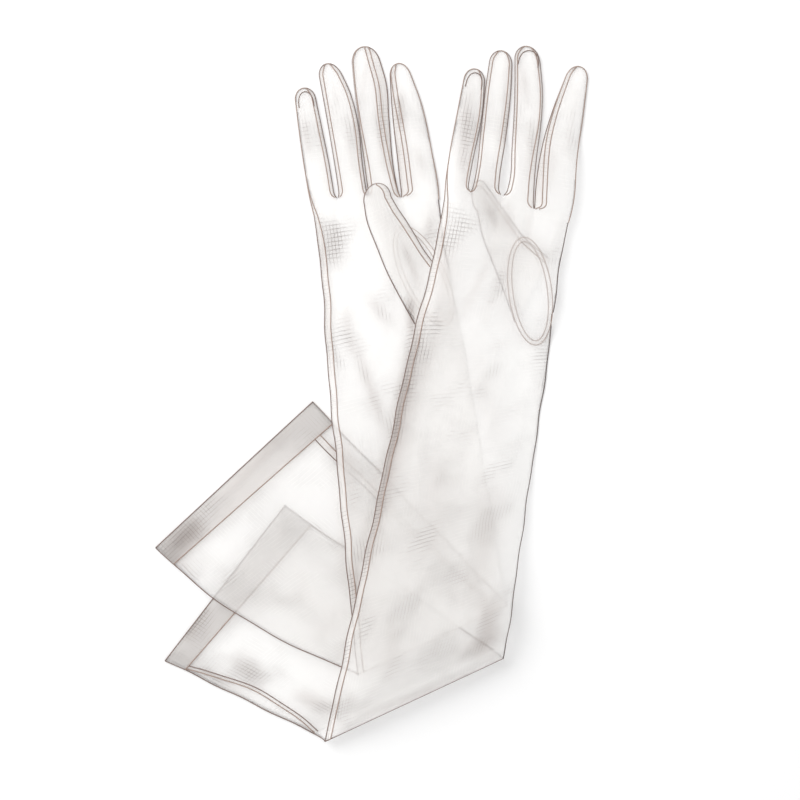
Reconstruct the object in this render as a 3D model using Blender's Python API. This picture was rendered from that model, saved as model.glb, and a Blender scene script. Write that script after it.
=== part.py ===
"""A pair of long sheer opera gloves, laid flat on a table with their sleeves folded back.

The right glove lies palm up with its thumb across the palm.  The left glove lies back up on
top of it, with its thumb folded under its hand.  Each sleeve is folded back on itself, and
the left glove's fold wraps round the outside of the right glove's fold.

The cloth is a flattened tube: a palm sheet and a back sheet, joined by a side seam along the
little-finger side.  Every layer lies on the layers below it and drapes down to the table
beyond their edges.  Units are metres; X is across the pair, +Y towards the fingertips, +Z up,
and the origin is at the table under the middle of the pair.
"""
import math

import bpy
from mathutils import Vector

MM = 0.001

# Cloth and layers.
SHEET = 0.5 * MM        # one cloth sheet
SEAM = 1.2 * MM         # the seam allowances, pressed together
HEM = 0.8 * MM          # a turned hem
CLEAR = 0.3 * MM        # left between pieces that touch
SLEEVE_DOME = 4.5 * MM  # how far the two sheets of a sleeve stand apart
DIGIT_DOME = 3.0 * MM
FOURCHETTE = 2.2 * MM   # height of the strip between a finger's two sheets
PITCH = 7.0 * MM        # from one sleeve layer to the next
THUMB_PITCH = 4.9 * MM
LEDGE = 6 * MM          # a layer stays up this far past the edge of what it lies on,
FALL = 36 * MM          # and comes down to the table within this much more
THUMB_FALL = 24 * MM

# The flat pattern, the same for both gloves: across the hand, and down from the knuckles.
HALF_KNUCKLES = 43 * MM
FLARE = 0.03            # the sleeve's half width grows by this much per length
WAIST, WAIST_AT, WAIST_REACH = 2.4 * MM, 35 * MM, 45 * MM
SEAM_WIDTH = 4.2 * MM
HEM_DEPTH = 18 * MM
HOLE = Vector((25 * MM, -49 * MM))
HOLE_HALF = Vector((14 * MM, 35.5 * MM))
HOLE_TILT = math.radians(18)
WELT_WIDTH = 2.6 * MM
CROTCHES = (-26.5 * MM, -4.5 * MM, 18 * MM)
CROTCH_ROOM = 2.6 * MM  # between two fingers' bases, for the strips along their sides
FINGERS = ("little", "ring", "middle", "index")
THUMB_HALF = 12 * MM
# The right thumb lies on the bases of two fingers, so those bend beyond its tip: the share of
# the finger's length that stays with the hand.
BEND_AT = {("right", "ring"): 0.16, ("right", "middle"): 0.16}

# How the pair lies.
FOLD_ANGLE = math.radians(25)  # both folds run this way across the table
FOLD_ROLL = 9 * MM
FOLD_ROWS = (0.4, 1.5, 4.0, 8.0, 14.0)  # rows near the fold, in mm from it


def smoothstep(t):
    t = min(max(t, 0.0), 1.0)
    return t * t * (3 - 2 * t)


def turned(vector, angle):
    c, s = math.cos(angle), math.sin(angle)
    return Vector((vector.x * c - vector.y * s, vector.x * s + vector.y * c))


FOLD_ALONG = turned(Vector((1, 0)), FOLD_ANGLE)
FOLD_INWARD = turned(Vector((0, 1)), FOLD_ANGLE)


class Glove:
    """One glove's place on the table, and the few sizes in which the pair differs."""

    def __init__(self, side, up, knuckles, lean, fold_down, fold_height, cuff, hem, bow, tips):
        self.side = side
        self.up = up                        # the sheet on top at the hand
        self.down = "palm" if up == "back" else "back"
        self.knuckles = Vector(knuckles) * MM
        self.lean = math.radians(lean)      # clockwise, seen from above
        self.fold_height = fold_height * MM
        self.tips = tips
        slope = math.tan(FOLD_ANGLE + self.lean)
        self.reach = {s: self.fold_reach(s, fold_down * MM, slope) for s in (-1, 1)}
        self.fold = {s: self.world(self.side_at(s, self.reach[s])) for s in (-1, 1)}
        middle = (self.fold[-1] + self.fold[1]) / 2
        length, heading = cuff
        width, angle = hem
        self.cuff_length = length * MM
        hem_middle = middle + turned(Vector((self.cuff_length, 0)), math.radians(heading))
        half = turned(Vector((width * MM / 2, 0)), math.radians(angle))
        self.hem = {-1: hem_middle - half, 1: hem_middle + half}
        self.bow = bow * MM

    def world(self, point):
        return self.knuckles + turned(Vector(point), -self.lean)

    def side_at(self, side, down):
        """The sleeve's edge on the little-finger side (-1) or the thumb side (1)."""
        waist = WAIST * math.exp(-((down - WAIST_AT) / WAIST_REACH) ** 2)
        return Vector((side * (HALF_KNUCKLES + FLARE * down - waist), -down))

    def fold_reach(self, side, middle, slope):
        """How far down a side the slanting fold meets it."""
        reach = middle
        for _ in range(5):
            reach = middle - self.side_at(side, reach).x * slope
        return reach

    def arm_edge(self, side, t):
        """Along a side of the hand and arm, from the knuckles (0) to the fold (1)."""
        return self.world(self.side_at(side, t * self.reach[side]))

    def cuff_edge(self, side, t):
        """Along a side of the folded-back end, from the fold (0) to the hem (1)."""
        point = self.fold[side].lerp(self.hem[side], t)
        if side == -1:
            away = (self.hem[-1] - self.hem[1]).normalized()
            point = point + away * self.bow * 4 * t * (1 - t)
        return point

    def from_fold(self, point):
        return (point - self.fold[-1]).dot(FOLD_INWARD)


# name, top sheet, knuckles' middle, lean, fold below the knuckles, height of the fold's axis,
# (cuff length, heading), (hem width, angle), outward bow of the cuff's lower edge, fingertips.
LEFT = Glove(
    "left", "back", (88.65, 119.28), 10.5, 327, 9.0, (146.6, 148.8), (129.4, 52.3), 0,
    {"little": (-37.6, 87), "ring": (-21.8, 104.2), "middle": (-4.8, 110.2), "index": (29.8, 103.2)})
RIGHT = Glove(
    "right", "palm", (2.85, 121.98), -7.5, 287, 13.3, (169.9, 140.6), (141.6, 42.9), 9,
    {"little": (-37.8, 84.2), "ring": (-18.6, 98.3), "middle": (5.7, 106.4), "index": (28.0, 92.6)})


def outside(outline, point):
    """Distance from a closed outline, or 0 inside it."""
    inside, nearest = False, math.inf
    for a, b in zip(outline, outline[1:] + outline[:1]):
        if (a.y > point.y) != (b.y > point.y):
            if point.x < a.x + (point.y - a.y) * (b.x - a.x) / (b.y - a.y):
                inside = not inside
        along = b - a
        t = min(max((point - a).dot(along) / along.length_squared, 0.0), 1.0)
        nearest = min(nearest, (point - a - along * t).length)
    return 0.0 if inside else nearest


def step_up(outline, rise, fall=FALL):
    """The height that a layer with this outline adds to whatever lies on it."""
    return lambda point: rise * (1 - smoothstep((outside(outline, point) - LEDGE) / fall))


def strip_outline(edge, start=0.0, end=1.0, steps=12):
    ts = [start + (end - start) * n / steps for n in range(steps + 1)]
    return [edge(-1, t) for t in ts] + [edge(1, t) for t in reversed(ts)]


class Digit:
    """A finger or thumb: a tapering tube from a base line to a round tip, in glove plan."""

    def __init__(self, glove, base, tip, half_base, half_tip, bow=0.0, slant=None, square_by=0.2):
        self.glove, self.base, self.tip = glove, Vector(base), Vector(tip)
        self.half_base, self.half_tip, self.bow = half_base, half_tip, bow
        self.slant = slant            # the way the base line runs, if not square across
        self.square_by = square_by    # where along the digit its rows have come square

    def centre(self, t):
        along = self.tip - self.base
        side = Vector((along.y, -along.x)).normalized()
        return self.base + along * t + side * self.bow * 4 * t * (1 - t)

    def across(self, t):
        along = self.centre(min(t + 0.02, 1.0)) - self.centre(max(t - 0.02, 0.0))
        square = Vector((along.y, -along.x)).normalized()
        if self.slant is None:
            return square
        return self.slant.lerp(square, smoothstep(t / self.square_by)).normalized()

    def half(self, t):
        taper = self.half_base + (self.half_tip - self.half_base) * t
        length = (self.tip - self.base).length
        into_tip = max(0.0, 1 - (1 - t) * length / self.half_tip)
        return taper * math.sqrt(max(1 - into_tip ** 2, 0.05))

    def edge(self, side, t):
        return self.glove.world(self.centre(t) + self.across(t) * side * self.half(t))


def finger(glove, name):
    bounds = (-HALF_KNUCKLES + WAIST / 2,) + CROTCHES + (HALF_KNUCKLES - WAIST / 2,)
    n = FINGERS.index(name)
    low, high = bounds[n] + CROTCH_ROOM / 2, bounds[n + 1] - CROTCH_ROOM / 2
    half_tip = {"little": 6.7, "ring": 7.0, "middle": 7.8, "index": 8.0}[name] * MM
    tip = Vector(glove.tips[name]) * MM
    return Digit(glove, ((low + high) / 2, CLEAR), tip, (high - low) / 2, half_tip,
                 slant=Vector((1, 0)))


LEFT_THUMB = Digit(LEFT, HOLE, Vector((-22, 14)) * MM, THUMB_HALF, 10.5 * MM, bow=-3 * MM)
RIGHT_THUMB = Digit(RIGHT, Vector((19.5, -53)) * MM, Vector((1.5, 13.5)) * MM, 18 * MM, 10 * MM,
                    slant=Vector((0.6, 0.8)), square_by=0.6)
THUMB_SWING = 75


def thumb_sweep(steps=8):
    """The ground that the left thumb covers as it swings out from under the hand."""
    reach = LEFT_THUMB.tip - HOLE
    out = reach.normalized() * (reach.length + 2 * MM)
    arc = [HOLE + turned(out, -math.radians(THUMB_SWING + 12) * n / steps + math.radians(6))
           for n in range(steps + 1)]
    back = [HOLE + turned(Vector((0, -THUMB_HALF)), math.radians(a)) for a in (60, 0, -60)]
    return [LEFT.world(point) for point in arc + back]


on_left_cuff = step_up(strip_outline(LEFT.cuff_edge), PITCH)
on_right_cuff = step_up(strip_outline(RIGHT.cuff_edge), PITCH)
on_right_arm = step_up(strip_outline(RIGHT.arm_edge), PITCH)
on_right_thumb = step_up(strip_outline(RIGHT_THUMB.edge, end=0.9), THUMB_PITCH, THUMB_FALL)
on_left_thumb = step_up(thumb_sweep(), THUMB_PITCH, THUMB_FALL)


def under_left_cuff(point):
    return 0.0


def under_right_cuff(point):
    return on_left_cuff(point)


def under_right_hand(point):
    return on_left_cuff(point) + on_right_cuff(point)


def under_right_thumb(point):
    return under_right_hand(point) + SLEEVE_DOME + 2 * SHEET + 2 * CLEAR


def under_left_hand(point):
    return (under_right_hand(point) + on_right_arm(point)
            + on_right_thumb(point) + on_left_thumb(point))


def clear_scene():
    for thing in list(bpy.data.objects):
        bpy.data.objects.remove(thing, do_unlink=True)


def pivot(name, place):
    """An empty on a joint's axis; everything that the joint moves is its child."""
    empty = bpy.data.objects.new(name, None)
    empty.empty_display_size = 20 * MM
    empty.location = place
    bpy.context.scene.collection.objects.link(empty)
    return empty


def cloth_material(name, colour, roughness):
    material = bpy.data.materials.new(name)
    material.use_nodes = True
    shader = material.node_tree.nodes["Principled BSDF"]
    shader.inputs["Base Color"].default_value = (*colour, 1.0)
    shader.inputs["Roughness"].default_value = roughness
    shader.inputs["Metallic"].default_value = 0.0
    return material


FINISH = {"cloth": ((0.90, 0.87, 0.83), 0.75), "seam": ((0.72, 0.66, 0.60), 0.8),
          "hem": ((0.82, 0.78, 0.74), 0.8)}


def shell(name, parent, rows, thickness, finish, closed=False):
    """A sheet of cloth with its underside on the given rows of points, made solid upwards."""
    origin = parent.location
    columns = len(rows[0])
    mesh = bpy.data.meshes.new(name)
    points = [Vector(point) - origin for row in rows for point in row]
    faces = []
    last = len(rows) if closed else len(rows) - 1
    for r in range(last):
        low, high = r * columns, (r + 1) % len(rows) * columns
        for c in range(columns - 1):
            faces.append((low + c, low + c + 1, high + c + 1, high + c))
    mesh.from_pydata(points, [], faces)
    mesh.materials.append(cloth_material(name, *FINISH[finish]))
    piece = bpy.data.objects.new(name, mesh)
    piece.parent = parent
    bpy.context.scene.collection.objects.link(piece)
    solid = piece.modifiers.new("thickness", "SOLIDIFY")
    solid.thickness = thickness
    solid.offset = 1.0
    solid.use_even_offset = False
    return piece


def across_strip(edge, t, start, end, columns):
    """Points across a strip at t, from a distance in from side -1 to one in from side 1."""
    a, b = edge(-1, t), edge(1, t)
    width = (b - a).length
    low, high = start / width, 1 - end / width
    for n in range(columns + 1):
        s = low + (high - low) * n / columns
        yield s, a.lerp(b, s)


def rolled(glove, point, height):
    """Lower or raise a fold's outer sheet towards the fold's axis, as a quarter roll."""
    t = 1 - min(max(glove.from_fold(point), 0.0), FOLD_ROLL) / FOLD_ROLL
    return glove.fold_height + (height - glove.fold_height) * math.sqrt(1 - t * t)


def sleeve_height(glove, point, s, under, top, outer):
    """The underside of one of a sleeve's two sheets.  outer says whether it is the one that
    rolls round the fold; the other keeps clear of it."""
    low = under(point)
    high = low + SHEET + CLEAR + SLEEVE_DOME * (1 - abs(2 * s - 1) ** 4)
    height = high if top else low
    if outer:
        return rolled(glove, point, height)
    room = SHEET + 2 * CLEAR
    if glove.from_fold(point) > FOLD_ROLL:
        return height
    if top:
        return max(height, rolled(glove, point, low) + room)
    return min(height, rolled(glove, point, high) - room)


def sleeve_sheet(name, parent, glove, edge, ts, under, top, insets, columns, outer):
    """One sheet of a sleeve.  top says whether it is the upper one of the tube's two."""
    rows = []
    for t in ts:
        strip = across_strip(edge, t, *insets, columns)
        rows.append([(*point, sleeve_height(glove, point, s, under, top, outer))
                     for s, point in strip])
    return shell(name, parent, facing_up(rows), SHEET, "cloth")


def facing_up(rows):
    """Put the rows in the order that makes their faces point up."""
    a, b, c = (Vector(p[:2]) for p in (rows[0][0], rows[0][-1], rows[-1][0]))
    across, along = b - a, c - a
    return rows if across.x * along.y - across.y * along.x > 0 else rows[::-1]


def edge_strip(name, parent, edge, side, ts, under, finish="seam"):
    """A pressed side seam: a narrow strip along one side of a sleeve."""
    rows = []
    for t in ts:
        a, b = edge(side, t), edge(-side, t)
        inward = (b - a).normalized() * SEAM_WIDTH
        ends = (a, a + inward) if side == -1 else (a + inward, a)
        rows.append([(*point, under(point) + CLEAR / 2) for point in ends])
    return shell(name, parent, facing_up(rows), SEAM, finish)


def spaced(start, end, steps):
    return [start + (end - start) * n / steps for n in range(steps + 1)]


def arm(glove, parent, under):
    """The hand and arm, from the knuckles to the fold: two sheets, side seam, thumb welt."""
    length = glove.reach[1]
    near_fold = [1 - w * MM / length for w in reversed(FOLD_ROWS)]
    whole = spaced(CLEAR / length, near_fold[0] - 0.03, 30)
    insets = (SEAM_WIDTH + CLEAR, 0.0)
    sleeve_sheet(f"{glove.side}_hand_{glove.up}", parent, glove, glove.arm_edge,
                 whole + near_fold, under, True, insets, 9, outer=True)
    sleeve_sheet(f"{glove.side}_hand_{glove.down}", parent, glove, glove.arm_edge,
                 whole + near_fold[:-2], under, False, insets, 9, outer=False)
    edge_strip(f"{glove.side}_arm_seam", parent, glove.arm_edge, -1, whole + near_fold[:-2], under)
    cut_hole(bpy.data.objects[f"{glove.side}_hand_palm"], glove)
    welt(glove, parent, under)


def hole_point(glove, angle, inset):
    on_oval = Vector(((HOLE_HALF.x - inset) * math.cos(angle), (HOLE_HALF.y - inset) * math.sin(angle)))
    return glove.world(HOLE + turned(on_oval, HOLE_TILT))


def cut_hole(palm, glove, sides=32):
    """Cut the thumb hole with an upright oval column, kept as a hidden cutter."""
    angles = [2 * math.pi * n / sides for n in range(sides)]
    rim = [hole_point(glove, angle, 0.0) for angle in angles]
    points = [(*p, z) for z in (-20 * MM, 60 * MM) for p in rim]
    faces = [tuple(reversed(range(sides))), tuple(range(sides, 2 * sides))]
    faces += [(n, (n + 1) % sides, sides + (n + 1) % sides, sides + n) for n in range(sides)]
    mesh = bpy.data.meshes.new(f"{glove.side}_hole_cutter")
    mesh.from_pydata(points, [], faces)
    cutter = bpy.data.objects.new(mesh.name, mesh)
    cutter.hide_render = True
    cutter.display_type = "WIRE"
    bpy.context.scene.collection.objects.link(cutter)
    cut = palm.modifiers.new("thumb hole", "BOOLEAN")
    cut.operation = "DIFFERENCE"
    cut.object = cutter


def welt(glove, parent, under, sides=32):
    """The bound edge of the thumb hole, lying inside it in the palm sheet."""
    rows = []
    for n in range(sides):
        angle = 2 * math.pi * n / sides
        row = []
        for inset in (2 * CLEAR, 2 * CLEAR + WELT_WIDTH):
            point = hole_point(glove, angle, inset)
            height = under(point)
            if glove.up == "palm":
                height += SHEET + CLEAR + SLEEVE_DOME * 0.9
            row.append((*point, height))
        rows.append(row[::-1])
    shell(f"{glove.side}_thumb_welt", parent, rows, SHEET, "seam", closed=True)


def cuff(glove, parent, under, seam_side):
    """The folded-back end of the sleeve, with its side seam and its turned hem."""
    length = glove.cuff_length
    hem_start = 1 - HEM_DEPTH / length
    near_fold = [w * MM / length for w in FOLD_ROWS]
    whole = spaced(near_fold[-1] + 0.06, hem_start, 12)
    inset = SEAM_WIDTH + CLEAR
    insets = (inset, 0.0) if seam_side == -1 else (0.0, inset)
    for name, top in ((glove.down, True), (glove.up, False)):
        ts = (near_fold[2:] if top else near_fold) + whole
        sleeve_sheet(f"{glove.side}_cuff_{name}", parent, glove, glove.cuff_edge, ts, under,
                     top, insets, 8, outer=not top)
        hem_ts = spaced(hem_start + CLEAR / length, 1.0, 2)
        rows = []
        for t in hem_ts:
            row = []
            for s, point in across_strip(glove.cuff_edge, t, *insets, 8):
                dome = SHEET + CLEAR + SLEEVE_DOME * (1 - abs(2 * s - 1) ** 4)
                lift = dome - (HEM - SHEET) if top else 0.0
                row.append((*point, under(point) + max(lift, HEM + CLEAR if top else 0.0)))
            rows.append(row)
        shell(f"{glove.side}_hem_{name}", parent, facing_up(rows), HEM, "hem")
    edge_strip(f"{glove.side}_cuff_seam", parent, glove.cuff_edge, seam_side,
               near_fold[2:] + whole + [1.0], under)


def digit_height(digit, s, t, sides):
    """How far apart a digit's sheets stand: dome in the middle, a strip's height at a side
    that has a strip, and closed at the tip."""
    left, right = (FOURCHETTE if strip else 0.0 for strip in sides)
    edge = left + (right - left) * s
    dome = edge + (DIGIT_DOME - edge) * (1 - abs(2 * s - 1) ** 3)
    return dome * math.sqrt(max(1 - max(0.0, (t - 0.8) / 0.2) ** 2, 0.0))


def digit_sheets(name, parent, digit, under, sides, ts, columns=4):
    """A digit's two sheets, with a row of points at each of the ts along it."""
    glove = digit.glove
    for sheet, top in ((glove.up, True), (glove.down, False)):
        rows = []
        for t in ts:
            row = []
            for s, point in across_strip(digit.edge, t, 0.0, 0.0, columns):
                height = under(point)
                if top:
                    height += SHEET + CLEAR + digit_height(digit, s, t, sides)
                row.append((*point, height))
            rows.append(row)
        shell(f"{name}_{sheet}", parent, facing_up(rows), SHEET, "cloth")


def side_strip(name, parent, digit, side, under, start, end=0.74, steps=7):
    """A fourchette: a narrow strip on edge along one side of a digit, between its sheets."""
    rows = []
    for t in spaced(start, end, steps):
        a, b = digit.edge(side, t), digit.edge(-side, t)
        place = a + (a - b).normalized() * 1.5 * CLEAR
        floor = max(under(a), under(place))
        rows.append([(*place, floor + CLEAR), (*place, floor + CLEAR + FOURCHETTE)])
    if side == 1:
        rows = rows[::-1]
    return shell(name, parent, rows, SHEET, "seam")


def to_tip(start, steps=9):
    return spaced(start, 1.0, steps)[:-1] + [0.955, 1.0]


def top_of(digit, under, t=0.0):
    """The highest point across a digit at t, for the hinge that folds it up there."""
    highest = max(under(point) for _, point in across_strip(digit.edge, t, 0.0, 0.0, 8))
    return highest + 2 * SHEET + CLEAR + DIGIT_DOME + CLEAR


def fingers(glove, hand, under):
    strips = {"little": (False, True), "ring": (True, True), "middle": (True, True),
              "index": (True, False)}
    for name, sides in strips.items():
        digit = finger(glove, name)
        bend = BEND_AT.get((glove.side, name), 0.0)
        gap = CLEAR / 2 / (digit.tip - digit.base).length
        line = (digit.base.x, 0.0) if bend == 0.0 else digit.centre(bend)
        joint = pivot(f"{glove.side}_{name}_pivot", (*glove.world(line), top_of(digit, under, bend)))
        pieces = [("finger", joint, to_tip(bend + gap if bend else 0.0), max(bend + gap, 0.06), 0.74)]
        if bend:
            pieces.append(("base", hand, spaced(0.0, bend - gap, 2), 0.06, bend - gap))
        for part, parent, ts, start, end in pieces:
            digit_sheets(f"{glove.side}_{name}_{part}", parent, digit, under, sides, ts)
            kind = "fourchette" if part == "finger" else "base_fourchette"
            for side, facing, present in ((-1, "outer", sides[0]), (1, "inner", sides[1])):
                if present:
                    side_strip(f"{glove.side}_{name}_{kind}_{facing}", parent, digit, side, under,
                               start, end)


def thumbs():
    sides = (False, True)
    place = LEFT.world(HOLE)
    swing = pivot("left_thumb_pivot", (*place, 0.0))
    digit_sheets("left_thumb", swing, LEFT_THUMB, under_left_cuff, sides, to_tip(0.0))
    side_strip("left_thumb_seam", swing, LEFT_THUMB, 1, under_left_cuff, start=0.2)
    place = RIGHT.world(RIGHT_THUMB.base)
    lift = pivot("right_thumb_pivot", (*place, top_of(RIGHT_THUMB, under_right_thumb)))
    digit_sheets("right_thumb", lift, RIGHT_THUMB, under_right_thumb, sides, to_tip(0.0))
    side_strip("right_thumb_seam", lift, RIGHT_THUMB, 1, under_right_thumb, start=0.1)


def fold_pivot(glove):
    middle = (glove.fold[-1] + glove.fold[1]) / 2
    return pivot(f"{glove.side}_fold_pivot", (*middle, glove.fold_height))


def build():
    clear_scene()
    table = pivot("sleeve_ends", (0, 0, 0))
    cuff(LEFT, table, under_left_cuff, seam_side=-1)
    cuff(RIGHT, table, under_right_cuff, seam_side=1)
    for glove, under in ((RIGHT, under_right_hand), (LEFT, under_left_hand)):
        hand = fold_pivot(glove)
        arm(glove, hand, under)
        fingers(glove, hand, under)
    thumbs()


build()
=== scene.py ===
"""A pair of long sheer opera gloves, laid flat on a pale table with their sleeves folded back.

The right glove lies palm up with its thumb across the palm.  The left glove lies back up on
top of it, with its thumb folded under its hand and showing through the cloth.  Each sleeve is a
flattened tube of sheer cloth that is folded back on itself.

Lengths are in millimetres until a mesh is made.  A place on a sleeve is (q, s, sheet):
q runs from the knuckles (0) to the fold (1), round it (2) and on to the hem (3); s runs from
the little-finger side (0) to the thumb side (1); the outer sheet is on top at the hand and
underneath at the hem, and the inner sheet is the other one.
"""
import math

import bpy
import numpy as np
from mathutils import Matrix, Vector


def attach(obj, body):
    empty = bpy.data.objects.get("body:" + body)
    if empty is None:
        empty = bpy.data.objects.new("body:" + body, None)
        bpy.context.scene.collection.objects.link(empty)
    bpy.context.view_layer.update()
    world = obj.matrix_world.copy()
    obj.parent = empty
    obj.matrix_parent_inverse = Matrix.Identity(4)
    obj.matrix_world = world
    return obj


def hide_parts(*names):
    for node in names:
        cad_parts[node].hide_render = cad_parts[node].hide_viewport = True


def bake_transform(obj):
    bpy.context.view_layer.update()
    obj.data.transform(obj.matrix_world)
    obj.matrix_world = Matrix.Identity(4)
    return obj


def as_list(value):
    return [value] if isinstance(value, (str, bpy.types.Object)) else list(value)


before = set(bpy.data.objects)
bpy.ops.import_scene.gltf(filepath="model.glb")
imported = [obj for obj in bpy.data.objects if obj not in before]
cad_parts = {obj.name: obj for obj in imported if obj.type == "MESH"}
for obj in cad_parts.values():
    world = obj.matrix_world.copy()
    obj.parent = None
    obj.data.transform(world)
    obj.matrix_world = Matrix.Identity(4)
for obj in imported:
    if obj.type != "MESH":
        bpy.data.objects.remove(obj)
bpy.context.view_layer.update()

MM = 0.001
OUTER, INNER = 0, 1

# Cloth and layers, the same as the frame's.
SLEEVE_DOME = 4.3       # how far the two sheets of a sleeve stand apart
CUFF_DOME = 3.6
DIGIT_DOME = 3.4
FOURCHETTE = 2.3        # height of the strip between a finger's two sheets
PITCH = 7.0             # from one sleeve layer to the next
THUMB_PITCH = 4.9
LEDGE = 6.0             # an upper layer stays level this far past a lower one's edge
FALL, THUMB_FALL = 36.0, 24.0  # and comes down over this length
LIFT = 0.35             # a layer's underside above what it lies on

# The flat pattern.  The hand widens down the arm, and is a little slimmer near its waist.
HALF_WIDTH, FLARE = 43.0, 0.03
WAIST, WAIST_AT, WAIST_REACH = 2.4, 35.0, 45.0
HALF_HAND = 41.7        # half the hand's width at the knuckles
HAND = 2 * HALF_HAND
SEAM_WIDTH, HEM_DEPTH = 4.2, 18.0
HOLE, HOLE_HALF, HOLE_TILT = (25.0, -49.0), (14.0, 35.5), 18.0
WELT_WIDTH = 2.6
CROTCHES = (-26.5, -4.5, 18.0)
FINGERS = ("little", "ring", "middle", "index")
BOUNDS = (-HALF_HAND, *CROTCHES, HALF_HAND)  # between the fingers, across the hand
FOLD_ANGLE = 25.0
ROLL = 11.0             # length of sleeve, each side of the fold, that bends in to its crease
KNUCKLE_ZONE = 28.0     # the hand's top takes the shape of four fingers over this length
THREAD = 0.34           # radius of a seam's thread
THREAD_SIDES = 6
COLUMNS = (10, 12, 12, 13)  # across each finger's share of the hand
ROW = 3.2               # from one row of a sleeve's points to the next, about
BEND_ROWS = 13          # from where a sleeve starts to bend to its crease
CORNER = 5.0            # length of the rounded corner where two fingers part
NEAR = 1e-6             # for comparing places that are meant to be the same
BLEND_HEIGHT = 0.005    # the height of the two ends that bend works out, in metres
ENDS = "sleeve_ends"    # the body that both folded-back ends belong to


def smoothstep(t):
    t = np.clip(t, 0.0, 1.0)
    return t * t * (3 - 2 * t)


def turned(point, degrees):
    point = np.asarray(point, float)
    c, s = math.cos(math.radians(degrees)), math.sin(math.radians(degrees))
    x, y = point[..., 0], point[..., 1]
    return np.stack([x * c - y * s, x * s + y * c], -1)


def mixed(a, b, t):
    return a + (b - a) * np.asarray(t, float)[..., None]


def lens(s):
    return 1 - np.abs(2 * np.asarray(s) - 1) ** 4


class Glove:
    """One glove's place on the table, and the few sizes in which the pair differs."""

    def __init__(self, side, up, knuckles, lean, fold_down, fold_height, cuff, hem, bow):
        self.side = side
        self.palm = OUTER if up == "palm" else INNER  # the sheet that is its palm
        self.knuckles = np.array(knuckles)
        self.lean = lean
        self.fold_height = fold_height
        slope = math.tan(math.radians(FOLD_ANGLE + lean))
        self.reach = {}
        for s in (-1, 1):
            reach = fold_down
            for _ in range(5):
                reach = fold_down - s * self.half_width(reach) * slope
            self.reach[s] = reach
        self.arm_length = (self.reach[-1] + self.reach[1]) / 2
        self.fold = {s: self.world((s * self.half_width(r), -r)) for s, r in self.reach.items()}
        middle = (self.fold[-1] + self.fold[1]) / 2
        self.cuff_length, heading = cuff
        width, angle = hem
        hem_middle = middle + turned((self.cuff_length, 0), heading)
        half = turned((width / 2, 0), angle)
        self.hem = {-1: hem_middle - half, 1: hem_middle + half}
        self.bow = bow

    def world(self, point):
        """The table's plan of a place in this glove's own plan."""
        return self.knuckles + turned(point, -self.lean)

    def local(self, plan):
        """The glove's own plan of a place on the table."""
        return turned(plan - self.knuckles, self.lean)

    def half_width(self, down):
        waist = WAIST * np.exp(-((down - WAIST_AT) / WAIST_REACH) ** 2)
        return HALF_WIDTH + FLARE * down - waist

    def arm_edge(self, side, t):
        t = np.asarray(t, float)
        down = t * self.reach[side]
        ease = smoothstep(down / 25) * smoothstep((1 - t) * 12)
        wave = np.sin(down / 8.3 + 2 * side) + 0.8 * np.sin(down / 4.9 + self.lean)
        out = side * (self.half_width(down) + 0.28 * wave * ease)
        return self.world(np.stack([out, -down], -1))

    def cuff_edge(self, side, t):
        t = np.asarray(t, float)
        point = mixed(self.fold[side], self.hem[side], t)
        away = self.hem[-1] - self.hem[1]
        away /= np.linalg.norm(away)
        bow = self.bow * 4 * t * (1 - t) if side == -1 else 0 * t
        wave = side * 0.35 * np.sin(t * 19 + self.lean) * smoothstep(t * 8)
        return point + away * (bow + wave)[..., None]


LEFT = Glove("left", "back", (88.65, 119.28), 10.5, 327, 9.0, (146.6, 148.8), (129.4, 52.3), 0)
RIGHT = Glove("right", "palm", (2.85, 121.98), -7.5, 287, 13.3, (169.9, 140.6), (141.6, 42.9), 9)

# Where two fingers part: how far beyond the knuckles, and how far across the hand.
PARTINGS = {LEFT: ((7.5, -25.6), (9.5, -4.6), (4.6, 18.0)),
            RIGHT: ((9.6, -24.6), (8.5, -4.8), (4.4, 16.8))}

# How far each finger's two edges are across the hand, at some distances beyond the partings,
# and where its tip is.
EDGES = {
    LEFT: {
        "little": (((0, -41.7, -26.5), (12, -43.0, -27.9), (26, -43.6, -28), (63, -43.6, -27.6),
                    (84, -43.4, -30.0)), 89.5),
        "ring": (((0, -25.5, -4.5), (12, -24.4, -7.6), (22, -24.2, -8.6), (50, -26, -9.3),
                  (80, -28.2, -11.6), (97, -28.8, -14)), 104.5),
        "middle": (((0, -3.5, 17.5), (12, -1.9, 16.0), (22, -1.4, 14.6), (40, -3.6, 13.0),
                    (60, -5.8, 12.2), (85, -9.6, 8.6), (101, -12.6, 4.2)), 110.5),
        "index": (((0, 18, 41.7), (8, 17.6, 42.4), (16, 16.6, 42.4), (40, 15.4, 39.8),
                   (70, 18, 38.7), (96, 22.8, 37)), 103.6)},
    RIGHT: {
        "little": (((0, -41.7, -26.0), (12, -43, -26.8), (30, -43.8, -27.4), (60, -44.2, -29.4),
                    (76, -44, -30.6)), 85),
        "ring": (((0, -24.0, -4.7), (12, -23.4, -5.4), (30, -23.6, -5.6), (58, -24.6, -5),
                  (80, -25.6, -8), (92, -26.2, -11.8)), 99),
        "middle": (((0, -4.5, 17), (8, -4.1, 15.6), (21, -4.0, 14.6), (58, -3.9, 15.8),
                    (82, -4.0, 17), (98, -3.4, 14.6)), 107),
        "index": (((0, 18, 41.7), (8, 17.8, 42.2), (30, 18.1, 41.2), (67, 19, 38),
                   (86, 20.4, 33.6)), 93)}}

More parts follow.
